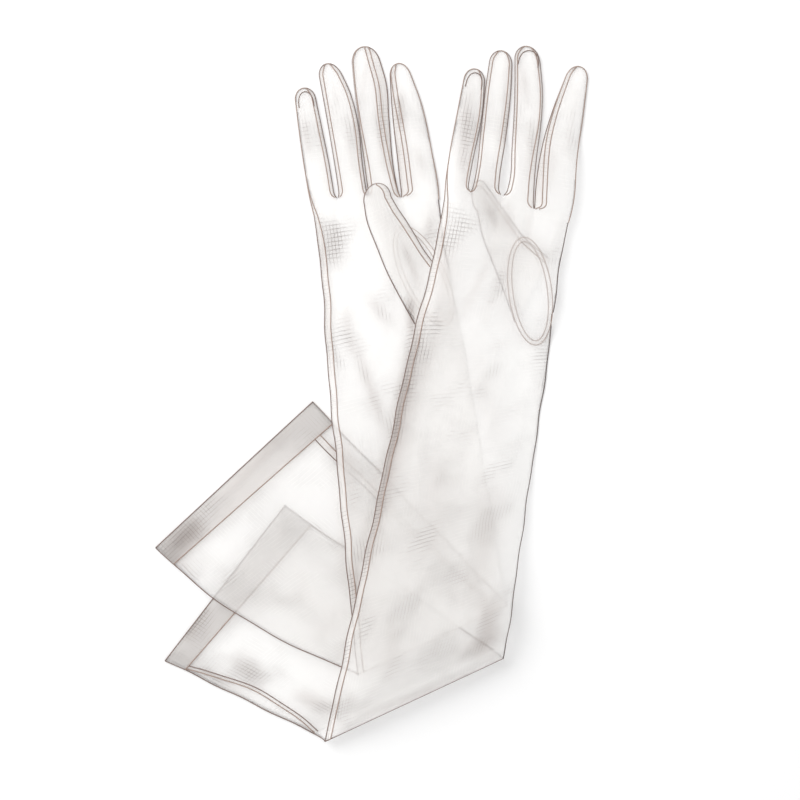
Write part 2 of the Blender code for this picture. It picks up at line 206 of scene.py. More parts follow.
# How far in from those edges the upper sheet's seams lie: distance out, left, right.
INSETS = {
    LEFT: {"little": ((0, 0, 1.6), (90, 0, 1.8)),
           "ring": ((0, 1.6, 2.4), (40, 1.8, 3.0), (104, 2.0, 1.6)),
           "middle": ((0, 2.4, 4.2), (22, 2.2, 3.6), (60, 1.6, 1.6), (110, 1.6, 1.8)),
           "index": ((0, 7.6, 0), (20, 7.2, 0), (52, 4.4, 0), (80, 3.0, 0), (103, 2.2, 0))},
    RIGHT: {"little": ((0, 0, 2.2), (85, 0, 2.2)),
            "ring": ((0, 2.6, 1.8), (50, 2.2, 2.4), (99, 2.4, 2.6)),
            "middle": ((0, 2.4, 2.4), (20, 2.8, 3.6), (60, 0.8, 7.0), (95, 0.6, 7.6), (107, 0.6, 7.0)),
            "index": ((0, 7.4, 0), (16, 7.4, 0), (50, 6.4, 0), (72, 4.4, 0), (93, 2.6, 0))}}
TIP_ARCS = ((RIGHT, "little"), (LEFT, "little"), (LEFT, "middle"))
STRIPS = {"little": (False, True), "ring": (True, True), "middle": (True, True),
          "index": (True, False)}


def through(stations, x):
    """A smooth curve through a few (x, y...) stations, read at each x."""
    stations = np.array(stations, float)
    at, values = stations[:, 0], stations[:, 1:]
    slopes = np.gradient(values, at, axis=0)
    n = np.clip(np.searchsorted(at, x, side="right") - 1, 0, len(at) - 2)
    span = at[n + 1] - at[n]
    t = np.clip((x - at[n]) / span, 0, 1.6)[:, None]
    span = span[:, None]
    return ((2 * t ** 3 - 3 * t ** 2 + 1) * values[n] + (t ** 3 - 2 * t ** 2 + t) * span * slopes[n]
            + (3 * t ** 2 - 2 * t ** 3) * values[n + 1] + (t ** 3 - t ** 2) * span * slopes[n + 1])


# Heights: what each layer lies on.

def outside(outline, points):
    """Each point's distance from a closed outline, or 0 inside it."""
    a, b = outline, np.roll(outline, -1, axis=0)
    p = points[..., None, :]
    along = b - a
    t = np.clip(((p - a) * along).sum(-1) / (along ** 2).sum(-1), 0, 1)
    nearest = np.linalg.norm(p - a - along * t[..., None], axis=-1).min(-1)
    x, y = p[..., 0], p[..., 1]
    crossed = (a[:, 1] > y) != (b[:, 1] > y)
    rise = np.where(b[:, 1] == a[:, 1], 1.0, b[:, 1] - a[:, 1])
    crossed &= x < a[:, 0] + (y - a[:, 1]) * (b[:, 0] - a[:, 0]) / rise
    return np.where(crossed.sum(-1) % 2 == 1, 0.0, nearest)


def step_up(outline, rise, fall=FALL):
    return lambda points: rise * (1 - smoothstep((outside(outline, points) - LEDGE) / fall))


def strip_outline(edge):
    ts = np.linspace(0, 1, 13)
    return np.concatenate([edge(-1, ts), edge(1, ts[::-1])])


def plan_area(outline):
    x, y = outline[:, 0], outline[:, 1]
    return abs((x * np.roll(y, -1) - y * np.roll(x, -1)).sum()) / 2


THUMB_EDGES = {
    LEFT: [((33, -25), (19, -71)), ((15, -14.5), (12.3, -59)), ((4.5, -5), (4.2, -45.5)),
           ((-5.5, 4.5), (-4.8, -31)), ((-13, 12), (-12.6, -18)), ((-18.2, 16.8), (-18.6, -3))],
    RIGHT: [((31.5, -40), (15, -80)), ((26.5, -30.5), (8, -62)), ((22.5, -21), (1.5, -44)),
            ((18.3, -11.5), (-3.2, -26)), ((13.8, -2.5), (-7.2, -9.5)), ((10.3, 6), (-7.8, 4.5))]}
THUMB_TIPS = {LEFT: (-24.5, 10.5), RIGHT: (1.6, 15.5)}


def thumb_ground():
    """The ground that the left thumb covers as it swings out from under the hand."""
    tip = np.array([-22.0, 14.0]) - HOLE
    out = tip / np.linalg.norm(tip) * (np.linalg.norm(tip) + 2)
    arc = [HOLE + turned(out, 6 - 87 * n / 8) for n in range(9)]
    back = [HOLE + turned((0, -12), a) for a in (60, 0, -60)]
    return LEFT.world(np.array(arc + back))


def right_thumb_ground():
    high, low = (np.array([pair[k] for pair in THUMB_EDGES[RIGHT]]) for k in (0, 1))
    return RIGHT.world(np.concatenate([low, high[::-1]]))


on_left_cuff = step_up(strip_outline(LEFT.cuff_edge), PITCH)
on_right_cuff = step_up(strip_outline(RIGHT.cuff_edge), PITCH)
on_right_arm = step_up(strip_outline(RIGHT.arm_edge), PITCH)
on_right_thumb = step_up(right_thumb_ground(), THUMB_PITCH, THUMB_FALL)
on_left_thumb = step_up(thumb_ground(), THUMB_PITCH, THUMB_FALL)


def under_cuff(glove, points):
    return np.zeros(points.shape[:-1]) if glove is LEFT else on_left_cuff(points)


def under_hand(glove, points):
    height = on_left_cuff(points) + on_right_cuff(points)
    if glove is LEFT:
        height = height + on_right_arm(points) + on_right_thumb(points) + on_left_thumb(points)
    return height


def rumple(points, seed, size=1.0):
    """Small soft unevenness, the same for neighbouring pieces of one sheet."""
    x, y = points[..., 0] / size, points[..., 1] / size
    a = 1.7 * seed
    return (np.sin(x / 9.1 + 0.9 * np.sin(y / 14 + a) + a) * np.sin(y / 11.7 + 0.7 * np.sin(x / 12 - a))
            + 0.6 * np.sin(x / 5.3 - y / 7.9 + 2 * a + np.sin(y / 17)) * np.sin(y / 6.1 + a))


def crease(points, a, b, width):
    """1 along the middle of a soft fold from a to b, and 0 away from it."""
    a, b = np.array(a, float), np.array(b, float)
    along = b - a
    t = ((points - a) @ along) / (along @ along)
    square = np.array([-along[1], along[0]]) / np.linalg.norm(along)
    off = (points - a) @ square
    ends = np.clip(np.sin(np.pi * np.clip(t, 0, 1)), 0, 1) ** 0.8
    return np.exp(-(off / width) ** 2) * ends


# Soft folds in the top sheet, in glove plan: from, to, half width, height.
FOLDS = {
    LEFT: [
        ((14, -30), (-36, -78), 3.0, 0.9), ((16, -52), (-30, -112), 3.4, 0.9),
        ((20, -70), (-12, -150), 3.6, 1.0), ((26, -88), (6, -178), 3.2, 0.8),
        ((36, -90), (34, -190), 3.6, 0.8), ((6, -20), (-34, -46), 2.6, 0.7),
        ((-30, -120), (-22, -235), 4.2, 0.9), ((10, -190), (24, -290), 4.4, 1.0),
        ((-40, -250), (10, -280), 3.6, 0.8), ((40, -230), (22, -310), 3.6, 0.9),
        ((-8, -230), (-24, -300), 3.8, 0.8), ((34, -16), (38, 10), 2.6, 0.5),
        ((-34, 6), (-28, -24), 2.8, 0.6), ((-12, 4), (-10, -26), 3.0, 0.6),
        ((8, 6), (12, -18), 3.0, 0.6)],
    RIGHT: [
        ((-8, -40), (-36, -74), 3.0, 0.8), ((2, -66), (-30, -126), 3.4, 0.8),
        ((12, -92), (-8, -178), 3.6, 0.9), ((-30, -130), (-32, -220), 4.0, 0.8),
        ((8, -150), (30, -250), 4.2, 0.8), ((-12, -200), (-30, -280), 3.8, 0.8),
        ((-34, 4), (-30, -30), 2.8, 0.6), ((-12, 2), (-16, -34), 3.0, 0.6),
        ((-36, -30), (-20, -60), 2.6, 0.6)]}
THUMB_FOLDS = {LEFT: (), RIGHT: (((2, -2), (10, -36), 2.4, 0.8), ((-4, -6), (6, -44), 2.2, 0.6),
                                 ((14, -16), (22, -44), 2.4, 0.6))}

# Painted shade: strokes where the cloth is painted greyer and less clear, as shade in its folds, in the
# gaps between fingers and along the edges of layers that lie over it, and where its weave shows more:
# from, to, half width, strength.  The hands, arms and fingers are in glove plan, and the folded-back
# ends in the table's own plan.
PAINTED_SHADES = {
    LEFT: [
        ((-34, -15), (-31, -85), 6, 0.45), ((-29, -65), (-39, -154), 5, 0.35),
        ((-36, -127), (-42, -215), 6, 0.3), ((-1, -16), (-19, -83), 4, 0.4),
        ((9, -17), (-3, -80), 3, 0.25), ((-8, -88), (26, -162), 9, 0.3),
        ((-15, -157), (-7, -236), 11, 0.3), ((27, -169), (23, -257), 9, 0.45),
        ((35, -248), (39, -296), 8, 0.8), ((17, -296), (49, -269), 6, 0.5),
        ((-41, -347), (38, -300), 4, 0.5), ((-24, -273), (-22, -320), 6, 0.3),
        ((-20, 11), (-1, -16), 4, 0.45), ((-3, 11), (7, -18), 4, 0.4), ((15, 7), (17, -23), 3, 0.3),
        ((36, 5), (36, -26), 3, 0.25), ((-41, 85), (-31, 5), 5, 0.7), ((-20, 99), (-3, 18), 2, 0.5),
        ((-9, 101), (2, 69), 3, 0.5), ((4, 66), (12, 24), 3, 0.4), ((31, 95), (33, 41), 3, 0.3),
        ((24, 53), (25, 16), 3, 0.35), ((-6, 62), (-5, 8), 2, 0.9), ((-26, 32), (-26, 5), 2, 0.8),
        ((18, 60), (17, 4), 2, 0.5), ((-42, -70), (-48, -260), 5, 1.0)],
    RIGHT: [
        ((-27, -81), (-13, -154), 4, 0.6), ((-29, -58), (-29, -98), 4, 0.45),
        ((-30, 1), (-32, -41), 5, 0.35), ((-15, -53), (0, -82), 5, 0.4),
        ((19, -77), (-10, -154), 5, 0.85), ((-3, -141), (-31, -191), 4, 0.5),
        ((-39, -137), (-42, -229), 4, 0.25), ((14, -60), (12, -90), 3, 0.9),
        ((-45, -225), (-46, -270), 4, 0.8), ((-28, -192), (-44, -240), 4, 0.5),
        ((-40, 71), (-40, 34), 3, 0.5), ((-19, 91), (-16, 61), 2, 0.3), ((-12, 67), (-12, 20), 3, 0.35),
        ((6, 98), (-2, 66), 2, 0.35), ((13, 91), (7, 18), 3, 0.45), ((26, 75), (22, 46), 3, 0.7),
        ((31, 41), (34, 11), 4, 0.4), ((0, 5), (10, -43), 3, 0.15), ((13, -20), (22, -61), 3, 0.6),
        ((37, -3), (29, -29), 4, 0.5), ((19, 50), (17, 4), 3, 0.5), ((-5, 60), (-5, 8), 2, 0.5)]}
# Painted shade on the folded-back ends.
END_PAINTED_SHADES = {
    RIGHT: [
        ((-104, -75), (-40, -9), 4, 0.3), ((-28, -32), (2, -58), 5, 0.6),
        ((-114, -125), (-141, -104), 4, 0.5), ((-18, -58), (-15, -138), 7, 0.3),
        ((-55, -111), (-28, -165), 12, 0.15), ((-136, -108), (-112, -84), 7, 0.8)],
    LEFT: [
        ((-111, -138), (-127, -165), 5, 0.8), ((-94, -171), (-71, -198), 7, 0.5),
        ((-55, -198), (-25, -211), 6, 0.6), ((-41, -171), (-18, -138), 5, 0.4),
        ((-127, -174), (-48, -228), 3, 0.45), ((-68, -85), (-104, -131), 3, 0.3)]}


def painted_shading(points, strokes):
    """How much painted shade greys the cloth at each point in plan, from 0 to 1."""
    clear = np.ones(points.shape[:-1])
    for a, b, width, strength in strokes:
        clear = clear * (1 - strength * crease(points, a, b, width))
    return 1 - clear


# Painted shade on a hand, arm, finger or thumb, from its strokes in glove plan.
def hand_painted_shade(glove, grid):
    return painted_shading(glove.local(grid[..., :2]), PAINTED_SHADES[glove])


# Painted shade on a folded-back end, from its strokes in the table's plan.
def end_painted_shade(glove, grid):
    return painted_shading(grid[..., :2], END_PAINTED_SHADES[glove])


def hand_unevenness(glove, world, local, sheet, s):
    if sheet == INNER:
        return 0.12 * rumple(world, 3 + glove.lean, 1.4) * lens(s)
    height = 0.16 * rumple(world, glove.lean)
    for a, b, width, rise in FOLDS[glove]:
        height = height + rise * crease(local, a, b, width)
    return height * lens(s)


def across_hand(s):
    """How far from the hand's middle line a share s of the way across is."""
    return HAND * s - HALF_HAND


def hand_share(u):
    return (u + HALF_HAND) / HAND


def knuckle_profile(s):
    """The hand's top at the knuckles, across all four fingers."""
    u = across_hand(s)
    height = np.zeros_like(s)
    for name, low, high in zip(FINGERS, BOUNDS, BOUNDS[1:]):
        inside = (u >= low - NEAR) & (u <= high + NEAR)
        across = np.clip((u - low) / (high - low), 0, 1)
        height = np.where(inside, digit_profile(across, STRIPS[name]), height)
    return height


def digit_profile(across, strips):
    left, right = (FOURCHETTE if strip else 0.0 for strip in strips)
    edge = left + (right - left) * across
    return edge + (DIGIT_DOME - edge) * (1 - np.abs(2 * across - 1) ** 3)


def arm_point(glove, t, s, sheet):
    """Points of a hand or arm sheet, at t from the knuckles (0) to the fold (1)."""
    a, b = glove.arm_edge(-1, t), glove.arm_edge(1, t)
    plan = mixed(a, b, s)
    local = glove.local(plan)
    height = under_hand(glove, plan) + LIFT + hand_unevenness(glove, plan, local, INNER, s)
    if sheet == OUTER:
        knuckle = smoothstep(1 + local[..., 1] / KNUCKLE_ZONE)
        near_fold = 1 - 0.3 * smoothstep(1 - (1 - t) * glove.reach[1] / 30)
        dome = SLEEVE_DOME * lens(s) * near_fold
        height = height + dome * (1 - knuckle) + knuckle_profile(s) * knuckle
        height = height + hand_unevenness(glove, plan, local, OUTER, s) * near_fold
    return np.concatenate([plan, height[..., None]], -1)


def cuff_point(glove, t, s, sheet):
    """Points of a folded-back end's sheet, at t from the fold (0) to the hem (1)."""
    plan = mixed(glove.cuff_edge(-1, t), glove.cuff_edge(1, t), s)
    height = under_cuff(glove, plan) + LIFT + 0.1 * rumple(plan, 5 + glove.lean, 1.4) * lens(s)
    if sheet == INNER:
        near_fold = 1 - 0.35 * smoothstep(1 - t * glove.cuff_length / 30)
        long_folds = np.zeros_like(height)
        for n, (low, high) in enumerate(((0.2, 0.32), (0.45, 0.38), (0.62, 0.72), (0.85, 0.78))):
            ridge = low + (high - low) * t
            long_folds = long_folds + 0.7 * np.exp(-((s - ridge) / 0.035) ** 2) * np.sin(
                np.pi * np.clip(t * 1.1 - 0.05 * n, 0, 1))
        height = height + (CUFF_DOME * near_fold + 0.2 * rumple(plan, glove.lean, 1.2)
                           + long_folds) * lens(s)
    return np.concatenate([plan, height[..., None]], -1)


def sleeve_point(glove, q, s, sheet):
    """Points of a sleeve's sheet; q and s are arrays of one shape."""
    q, s = np.broadcast_arrays(np.asarray(q, float), np.asarray(s, float))
    arm_end = 1 - ROLL / glove.reach[1]
    cuff_start = ROLL / glove.cuff_length
    arm = arm_point(glove, np.clip(q, 0, 1) * arm_end, s, sheet)
    cuff = cuff_point(glove, cuff_start + np.clip(q - 2, 0, 1) * (1 - cuff_start), s, sheet)
    turn = np.clip(q - 1, 0, 1) * np.pi
    crease_line = mixed(glove.fold[-1], glove.fold[1], s)
    reach = np.sin(turn)
    if sheet == INNER:
        reach = reach * (1 - 0.4 * lens(s) * (1 - np.sin(turn) ** 4))
    plan = np.where((q < 1.5)[..., None], arm[..., :2], cuff[..., :2])
    plan = mixed(plan, crease_line, reach)
    end_height = np.where(q < 1.5, arm[..., 2], cuff[..., 2])
    height = glove.fold_height + (end_height - glove.fold_height) * np.abs(np.cos(turn))
    return np.concatenate([plan, height[..., None]], -1)


def finger_columns():
    """Places across the hand: even across each finger's share, with two at the side seam."""
    seam = SEAM_WIDTH / HAND
    places = [np.array([0.0, SEAM_WIDTH / 2, SEAM_WIDTH]) / HAND]
    for n, count in enumerate(COLUMNS):
        low, high = hand_share(BOUNDS[n]), hand_share(BOUNDS[n + 1])
        places.append(np.linspace(low if n else seam, high, count + 1)[1:])
    return np.concatenate(places)


# Meshes.

def new_mesh(name, points, faces, uvs, material, painted_shade=None):
    """A smooth mesh, from points in mm; uvs holds two UV maps' values for each point."""
    mesh = bpy.data.meshes.new(name)
    mesh.from_pydata((points * MM).tolist(), [], [list(f) for f in faces])
    loops = np.empty(len(mesh.loops), int)
    mesh.loops.foreach_get("vertex_index", loops)
    for layer, values in zip(("cloth", "edges"), uvs):
        uv = mesh.uv_layers.new(name=layer)
        uv.data.foreach_set("uv", (values[loops] * MM).astype(np.float32).ravel())
    mesh.materials.append(material)
    if painted_shade is not None:
        # Painted shade, kept on each point for the cloth's material.
        attribute = mesh.attributes.new("painted_shade", "FLOAT", "POINT")
        attribute.data.foreach_set("value", np.asarray(painted_shade, np.float32).ravel())
    mesh.polygons.foreach_set("use_smooth", np.ones(len(mesh.polygons), bool))
    mesh.update()
    thing = bpy.data.objects.new(name, mesh)
    bpy.context.scene.collection.objects.link(thing)
    return thing


def grid_faces(rows, columns, closed=False, keep=None):
    """Faces of a grid of points; closed joins the last column to the first."""
    faces = []
    for r in range(rows - 1):
        for c in range(columns if closed else columns - 1):
            if keep is not None and not keep[r, c]:
                continue
            d = (c + 1) % columns
            here, ahead = r * columns, (r + 1) * columns
            faces.append((here + c, here + d, ahead + d, ahead + c))
    return faces


def distances(line):
    """How far along a line of points each one is."""
    return np.concatenate([[0], np.cumsum(np.linalg.norm(np.diff(line, axis=0), axis=-1))])


def grid_uvs(grid):
    """Distances across and along a grid, and the distances from its two long edges."""
    steps = np.linalg.norm(np.diff(grid, axis=1), axis=-1)
    across = np.concatenate([np.zeros((len(grid), 1)), np.cumsum(steps, 1)], 1)
    middle = grid[:, grid.shape[1] // 2]
    along = np.repeat(distances(middle)[:, None], grid.shape[1], 1)
    cloth = np.stack([across - across[:, -1:] / 2, along], -1).reshape(-1, 2)
    edges = np.stack([across, across[:, -1:] - across], -1).reshape(-1, 2)
    return cloth, edges


def strip(name, grid, material, painted_shade=None):
    """A piece of cloth that is one grid of points."""
    faces = grid_faces(*grid.shape[:2])
    return new_mesh(name, grid.reshape(-1, 3), faces, grid_uvs(grid), material, painted_shade)


def tube_grid(outer, inner):
    """Joins two sheets' grids along both long edges into one grid of closed loops."""
    return np.concatenate([outer, inner[:, -2:0:-1]], 1)


def tube_uvs(outer, inner):
    both = []
    for a, b in zip(grid_uvs(outer), grid_uvs(inner)):
        a, b = a.reshape(*outer.shape[:2], 2), b.reshape(*inner.shape[:2], 2)
        both.append(np.concatenate([a, b[:, -2:0:-1]], 1).reshape(-1, 2))
    return both


def thread(name, points, material, radius=THREAD, closed=False):
    """A thin round cord of sewing along a line of points."""
    points = np.asarray(points, float)
    if closed:
        ahead, behind = np.roll(points, -1, 0), np.roll(points, 1, 0)
    else:
        ahead, behind = np.vstack([points[1:], points[-1:]]), np.vstack([points[:1], points[:-1]])
    along = ahead - behind
    along /= np.maximum(np.linalg.norm(along, axis=1), 1e-9)[:, None]
    side = np.cross(along, (0, 0, 1.0))
    length = np.linalg.norm(side, axis=1)[:, None]
    side = np.where(length > 0.05, side / np.maximum(length, 1e-9), (1.0, 0, 0))
    rise = np.cross(side, along)
    angles = (np.arange(THREAD_SIDES) * np.pi / 3)[None, :, None]
    ring = points[:, None] + radius * (np.cos(angles) * side[:, None] + np.sin(angles) * rise[:, None])
    faces = grid_faces(len(points), THREAD_SIDES, closed=True)
    if closed:
        last = (len(points) - 1) * THREAD_SIDES
        ahead = [(c + 1) % THREAD_SIDES for c in range(THREAD_SIDES)]
        faces += [(last + c, last + d, d, c) for c, d in enumerate(ahead)]
    flat = ring.reshape(-1, 3)
    uv = np.zeros((len(flat), 2))
    uv[:, 1] = np.repeat(distances(points), THREAD_SIDES)
    return new_mesh(name, flat, faces, (uv, uv), material)


# Materials.

class Shader:
    """A material's nodes, with short ways to add one and join it to others."""

    def __init__(self, name):
        self.material = bpy.data.materials.new(name)
        self.material.use_nodes = True
        self.tree = self.material.node_tree
        self.tree.nodes.clear()

    def add(self, kind, inputs=None, **settings):
        """Adds a node and gives its outputs.  An input is a value or another node's output."""
        node = self.tree.nodes.new("ShaderNode" + kind)
        for name, value in settings.items():
            setattr(node, name, value)
        for name, value in (inputs or {}).items():
            if hasattr(value, "links"):
                self.tree.links.new(value, node.inputs[name])
            else:
                node.inputs[name].default_value = value
        return node.outputs

    def maths(self, operation, *values, clamp=False):
        return self.add("Math", dict(enumerate(values)), operation=operation, use_clamp=clamp)[0]

    def noise(self, place, scale, detail):
        return self.add("TexNoise", {"Vector": place, "Scale": scale, "Detail": detail})["Fac"]

    def two_tone(self, a, b, share):
        """Turns from colour a to colour b as share goes from 0 to 1."""
        a, b = (tint if hasattr(tint, "links") else (*tint, 1) for tint in (a, b))
        return self.add("Mix", {0: share, 6: a, 7: b}, data_type="RGBA")[2]

    def ended(self, surface):
        self.add("OutputMaterial", {0: surface[0]})
        return self.material


WHITE = (0.985, 0.975, 0.965)
# The grey of painted shade.
PAINTED_SHADE_TINT = (0.53, 0.475, 0.45)
EDGE_TINT = (0.2, 0.14, 0.12)
HATCH_TINT = (0.16, 0.125, 0.11)
WEAVE_DRIFT = 0.0016    # how far the weave's lines wander, in metres
LINE_SHARP = 34
# The weave's two sets of lines: UV axis, spacing in metres, patches' scale, where patches start.
WEAVE = ((0, 0.0023, 26, 0.52), (1, 0.0026, 31, 0.5))
EDGE_WIDTH = 0.0007     # of the line along a cloth's edge, in metres
EDGE_FADE = 0.012       # how gradually that line ends, in metres


def fine_lines(shader, place, spacing):
    """Thin lines every spacing metres across one coordinate, as 0 to 1."""
    wave = shader.maths("SINE", shader.maths("MULTIPLY", place, 2 * math.pi / spacing))
    return shader.maths("POWER", shader.maths("MULTIPLY_ADD", wave, 0.5, 0.5), LINE_SHARP)


def sheer_cloth(name, colour, cover, hatch=0.5, edge_line=0.0, line_end=9.0):
    """Crisp sheer cloth: mostly see-through, a little milky, with an open weave that shows in
    patches.  Painted shade on its points makes it greyer and thicker, and its weave show more;
    line_end is how far down the cloth its edge line runs, in metres."""
    shader = Shader(name)
    maths = shader.maths
    painted_shade = shader.add("Attribute", attribute_name="painted_shade")["Fac"]
    uv = shader.add("UVMap", uv_map="cloth")[0]
    place = shader.add("SeparateXYZ", {0: uv})
    drift = maths("MULTIPLY", shader.noise(uv, 60, 1), WEAVE_DRIFT)
    threads = []
    for axis, spacing, scale, start in WEAVE:
        lines = fine_lines(shader, maths("ADD", place[axis], drift), spacing)
        # The weave shows more where painted shade lies.
        patches = maths("MULTIPLY_ADD", painted_shade, 0.16, shader.noise(uv, scale, 3))
        shown = shader.add("MapRange", {"Value": patches, "From Min": start, "From Max": 0.66})
        threads.append(maths("MULTIPLY", lines, shown[0]))
    marks = maths("MAXIMUM", *threads)
    cloudy = maths("MULTIPLY", shader.noise(uv, 16, 4), 0.16)
    # Painted shade also makes the cloth less clear.
    painted_shade_cover = maths("MULTIPLY", painted_shade, 0.3)
    alpha = maths("ADD", maths("ADD", cloudy, painted_shade_cover), cover - 0.08)
    alpha = maths("ADD", alpha, maths("MULTIPLY", marks, hatch), clamp=True)
    # Painted shade greys the cloth's colour.
    tint = shader.two_tone(colour, PAINTED_SHADE_TINT, maths("MULTIPLY", painted_shade, 0.8))
    if edge_line:
        edges = shader.add("SeparateXYZ", {0: shader.add("UVMap", uv_map="edges")[0]})
        near = maths("MULTIPLY", edges[1], -1 / EDGE_WIDTH)
        near = maths("ADD", near, 1.6, clamp=True)
        beyond = maths("MULTIPLY", place[1], -1 / EDGE_FADE)
        beyond = maths("ADD", beyond, line_end / EDGE_FADE, clamp=True)
        near = maths("MULTIPLY", near, beyond)
        alpha = maths("ADD", alpha, maths("MULTIPLY", near, edge_line), clamp=True)
        tint = shader.two_tone(tint, EDGE_TINT, near)
    tint = shader.two_tone(tint, HATCH_TINT, maths("MULTIPLY", marks, 0.9))
    surface = shader.add("BsdfPrincipled", {"Base Color": tint, "Roughness": 0.62,
                                            "Specular IOR Level": 0.25, "Sheen Weight": 0.15})
    through_light = shader.add("BsdfTranslucent", {"Color": tint})
    body = shader.add("MixShader", {0: 0.42, 1: surface[0], 2: through_light[0]})
    clear = shader.add("BsdfTransparent")
    return shader.ended(shader.add("MixShader", {0: alpha, 1: clear[0], 2: body[0]}))


def thread_material(name, colour):
    shader = Shader(name)
    fibres = shader.noise(shader.add("UVMap", uv_map="cloth")[0], 220, 2)
    tint = shader.two_tone([c * 0.75 for c in colour], [min(c * 1.3, 1) for c in colour], fibres)
    return shader.ended(shader.add("BsdfPrincipled", {"Base Color": tint, "Roughness": 0.7}))


CLOTH = sheer_cloth("sheer_cloth", WHITE, 0.36, edge_line=0.5)
COVERED_CLOTH = sheer_cloth("covered_cloth", WHITE, 0.36, edge_line=0.5, line_end=0.055)
END_CLOTH = sheer_cloth("end_cloth", WHITE, 0.34, edge_line=0.3)
FINGER_CLOTH = sheer_cloth("finger_cloth", WHITE, 0.36)
SEAM_CLOTH = sheer_cloth("seam_cloth", (0.95, 0.925, 0.905), 0.42, hatch=0.05)
HEM_CLOTH = sheer_cloth("hem_cloth", (0.78, 0.755, 0.74), 0.42, hatch=0.35)
LINE = thread_material("seam_thread", EDGE_TINT)
SOFT_LINE = thread_material("fine_thread", (0.34, 0.25, 0.21))


# Building the pieces.

def placed(piece, body, *stands_for):
    """Makes a piece move with a body, and stand for some of the frame's nodes."""
    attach(piece, body)
    if stands_for:
        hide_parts(*stands_for)
    return piece


def sewn(body, name, line, material, **more):
    """A thread that moves with a body."""
    return placed(thread(name, line, material, **more), body)


def bend(pieces, glove, body, start, end):
    """Bakes each piece's place into its mesh.  body is not used, and the two ends worked out from start
    and end, in glove plan, are not used either.
    """
    ends = [(*(glove.world(place) * MM), BLEND_HEIGHT) for place in (start, end)]
    for piece in pieces:
        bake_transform(piece)


def sleeve_line(glove, q, from_side, inset, sheet, lift):
    """A line along a sleeve's sheet, at its own distance in from one side for each q."""
    a, b = (sleeve_point(glove, q, 0.0 * q + s, OUTER)[..., :2] for s in (0, 1))
    s = inset / np.linalg.norm(b - a, axis=-1)
    return sleeve_point(glove, q, s if from_side == -1 else 1 - s, sheet) + (0, 0, lift)


def seam_band(name, glove, q, from_side, near, far):
    """A pressed seam: a narrow strip on the upper sheet, from near to far in from one side."""
    # Painted shade from the hand's strokes or from the folded-back end's strokes.
    upper, painted_shade = (OUTER, hand_painted_shade) if q[0] < 1 else (INNER, end_painted_shade)
    grid = np.stack([sleeve_line(glove, q, from_side, near + (far - near) * share, upper, 0.22)
                     for share in np.linspace(0, 1, 4)], 1)
    return strip(name, grid, SEAM_CLOTH, painted_shade(glove, grid))


def hole_ring(glove, inset, count=72):
    """Places round the thumb hole, this far inside its edge."""
    angle = np.linspace(0, 2 * np.pi, count, endpoint=False)
    oval = np.stack([np.cos(angle), np.sin(angle)], -1) * (np.array(HOLE_HALF) - inset)
    return glove.world(np.array(HOLE) + turned(oval, HOLE_TILT))


def hole_distance(glove, plan):
    """How far out a point is, as a share of the thumb hole's oval: 1 is on its edge."""
    local = turned(glove.local(plan) - HOLE, -HOLE_TILT)
    return np.hypot(local[..., 0] / HOLE_HALF[0], local[..., 1] / HOLE_HALF[1])


def on_hand(glove, plan, sheet, lift=0.0):
    """Points on a hand's sheet above places in plan."""
    local = glove.local(plan)
    t = -local[..., 1] / glove.reach[1]
    for _ in range(4):
        a, b = glove.arm_edge(-1, t), glove.arm_edge(1, t)
        along = b - a
        square = np.stack([-along[..., 1], along[..., 0]], -1)
        square /= np.linalg.norm(square, axis=-1, keepdims=True)
        off = ((plan - a) * square).sum(-1)
        t = t - off / glove.arm_length
    a, b = glove.arm_edge(-1, t), glove.arm_edge(1, t)
    along = b - a
    s = ((plan - a) * along).sum(-1) / (along ** 2).sum(-1)
    point = arm_point(glove, t, s, sheet)
    return np.concatenate([plan, point[..., 2:] + lift], -1)


def sleeve_piece(name, glove, q, s, material, painted_shade, top, holes=False):
    """A length of a sleeve: both sheets joined along their two edges.  Its top sheet gets the full
    painted shade, and the one below a quarter of it."""
    qq, ss = np.meshgrid(q, s, indexing="ij")
    outer = sleeve_point(glove, qq, ss, OUTER)
    inner = sleeve_point(glove, qq, ss, INNER)
    grid = tube_grid(outer, inner)
    rows, columns = grid.shape[:2]
    keep = np.ones((rows, columns), bool)
    if holes:
        pairs = grid[..., :2] + np.roll(grid[..., :2], -1, 1)
        centres = (pairs[:-1] + pairs[1:]) / 4
        is_palm = (np.arange(columns) < len(s) - 1) == (glove.palm == OUTER)
        removed = (hole_distance(glove, centres) < 1) & is_palm
        keep[:-1] = ~removed
        grid = snap_to_hole(glove, grid, removed)
    faces = grid_faces(rows, columns, closed=True, keep=keep)
    # Painted shade: full on the top sheet, a quarter on the sheet below.
    painted_grey = painted_shade(glove, grid) * 0.25
    shown = slice(0, len(s)) if top == OUTER else slice(len(s), columns)
    painted_grey[:, shown] *= 4
    return new_mesh(name, grid.reshape(-1, 3), faces, tube_uvs(outer, inner), material, painted_grey)


def snap_to_hole(glove, grid, removed):
    """Moves the points round a removed patch onto the oval's edge."""
    corners = np.zeros(grid.shape[:2], bool)
    whole = np.zeros(grid.shape[:2], int)
    for dr in (0, 1):
        for dc in (0, 1):
            part = np.roll(removed, dc, 1)
            corners[dr:dr + len(removed)] |= part
            whole[dr:dr + len(removed)] += part
    rim = corners & (whole < 4)
    plan = grid[rim][:, :2]
    out = hole_distance(glove, plan)[:, None]
    middle = glove.world(HOLE)
    moved = middle + (plan - middle) / out
    grid = grid.copy()
    grid[rim] = on_hand(glove, moved, glove.palm)
    return grid


def declare(width, length, area, sewn_on):
    """Turns sewn_on into a list, and does nothing more.  width, length and area, in mm, are not used."""
    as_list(sewn_on)


